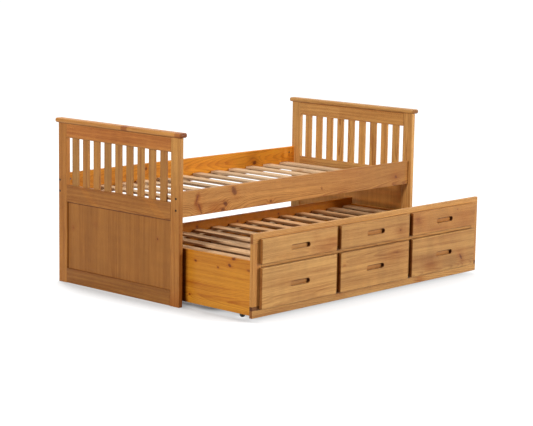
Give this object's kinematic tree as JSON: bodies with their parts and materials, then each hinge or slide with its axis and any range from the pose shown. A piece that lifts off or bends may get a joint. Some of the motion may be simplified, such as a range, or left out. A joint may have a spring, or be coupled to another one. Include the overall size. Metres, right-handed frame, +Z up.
{
  "type": "captain's bed with pull-out guest bed",
  "caption": "Single pine bed with slatted end boards and a pull-out guest bed on castors, whose front carries storage drawers below false drawer fronts.",
  "frame": {"origin": "on the floor, under the middle of the outline with the guest bed pulled out as at rest", "axes": "+X along the bed from the footboard to the headboard, -Y towards the side the guest bed pulls out to, +Z up"},
  "size_m": [2, 1.5196, 0.93],
  "materials": {
    "waxed_pine": "honey wax, satin",
    "amber_pine": "amber lacquer, satin",
    "raw_pine": "planed, unfinished",
    "dark_steel": "black oxide",
    "zinc_steel": "zinc plated",
    "black_plastic": "moulded, matt"
  },
  "bodies": {
    "bed": {"footboard_front_post": "waxed_pine", "footboard_back_post": "waxed_pine", "footboard_cap": "waxed_pine", "footboard_top_rail": "waxed_pine", "footboard_middle_rail": "waxed_pine", "footboard_bottom_rail": "waxed_pine", "footboard_panel": "waxed_pine", "footboard_spindles": "waxed_pine", "headboard_front_post": "waxed_pine", "headboard_back_post": "waxed_pine", "headboard_cap": "waxed_pine", "headboard_top_rail": "waxed_pine", "headboard_middle_rail": "waxed_pine", "headboard_bottom_rail": "waxed_pine", "headboard_panel": "waxed_pine", "headboard_spindles": "waxed_pine", "front_side_rail": "waxed_pine", "back_side_rail": "amber_pine", "slat_ledges": "raw_pine", "bed_slats": "raw_pine", "rail_bolts": "dark_steel", "barrel_nuts": "zinc_steel"},
    "guest_bed": {"guest_top_rail": "waxed_pine", "guest_middle_rail": "waxed_pine", "guest_bottom_rail": "waxed_pine", "guest_left_stile": "waxed_pine", "guest_right_stile": "waxed_pine", "guest_upper_muntins": "waxed_pine", "guest_lower_muntins": "waxed_pine", "guest_left_side": "amber_pine", "guest_right_side": "amber_pine", "guest_back_board": "amber_pine", "left_divider": "raw_pine", "right_divider": "raw_pine", "guest_slat_ledges": "raw_pine", "guest_slats": "raw_pine", "left_false_front": "waxed_pine", "middle_false_front": "waxed_pine", "right_false_front": "waxed_pine", "drawer_runners": "raw_pine", "castor_blocks": "raw_pine", "castor_forks": "black_plastic", "castor_axles": "zinc_steel"},
    "left_drawer": {"left_drawer_front": "waxed_pine", "left_drawer_sides": "raw_pine", "left_drawer_ends": "raw_pine", "left_drawer_bottom": "raw_pine"},
    "middle_drawer": {"middle_drawer_front": "waxed_pine", "middle_drawer_sides": "raw_pine", "middle_drawer_ends": "raw_pine", "middle_drawer_bottom": "raw_pine"},
    "right_drawer": {"right_drawer_front": "waxed_pine", "right_drawer_sides": "raw_pine", "right_drawer_ends": "raw_pine", "right_drawer_bottom": "raw_pine"},
    "front_left_wheel": {"front_left_wheel": "black_plastic"},
    "front_right_wheel": {"front_right_wheel": "black_plastic"},
    "back_left_wheel": {"back_left_wheel": "black_plastic"},
    "back_right_wheel": {"back_right_wheel": "black_plastic"}
  },
  "joints": [
    {"name": "guest_bed_slide", "type": "slide", "parent": "bed", "child": "guest_bed", "axis": [0, -1, 0], "range_m": [-0.505, 0.45]},
    {"name": "left_drawer_slide", "type": "slide", "parent": "guest_bed", "child": "left_drawer", "axis": [0, -1, 0], "range_m": [0, 0.33]},
    {"name": "middle_drawer_slide", "type": "slide", "parent": "guest_bed", "child": "middle_drawer", "axis": [0, -1, 0], "range_m": [0, 0.33]},
    {"name": "right_drawer_slide", "type": "slide", "parent": "guest_bed", "child": "right_drawer", "axis": [0, -1, 0], "range_m": [0, 0.33]},
    {"name": "front_left_wheel_spin", "type": "hinge", "parent": "guest_bed", "child": "front_left_wheel", "pos_m": [-0.893, -0.60925, 0.016], "axis": [1, 0, 0], "continuous": true},
    {"name": "front_right_wheel_spin", "type": "hinge", "parent": "guest_bed", "child": "front_right_wheel", "pos_m": [0.893, -0.60925, 0.016], "axis": [1, 0, 0], "continuous": true},
    {"name": "back_left_wheel_spin", "type": "hinge", "parent": "guest_bed", "child": "back_left_wheel", "pos_m": [-0.893, 0.08975, 0.016], "axis": [1, 0, 0], "continuous": true},
    {"name": "back_right_wheel_spin", "type": "hinge", "parent": "guest_bed", "child": "back_right_wheel", "pos_m": [0.893, 0.08975, 0.016], "axis": [1, 0, 0], "continuous": true}
  ],
  "couplings": [
    {"joint": "front_left_wheel_spin", "follows": "guest_bed_slide", "rad_per_m": 62.5},
    {"joint": "front_right_wheel_spin", "follows": "guest_bed_slide", "rad_per_m": 62.5},
    {"joint": "back_left_wheel_spin", "follows": "guest_bed_slide", "rad_per_m": 62.5},
    {"joint": "back_right_wheel_spin", "follows": "guest_bed_slide", "rad_per_m": 62.5}
  ]
}
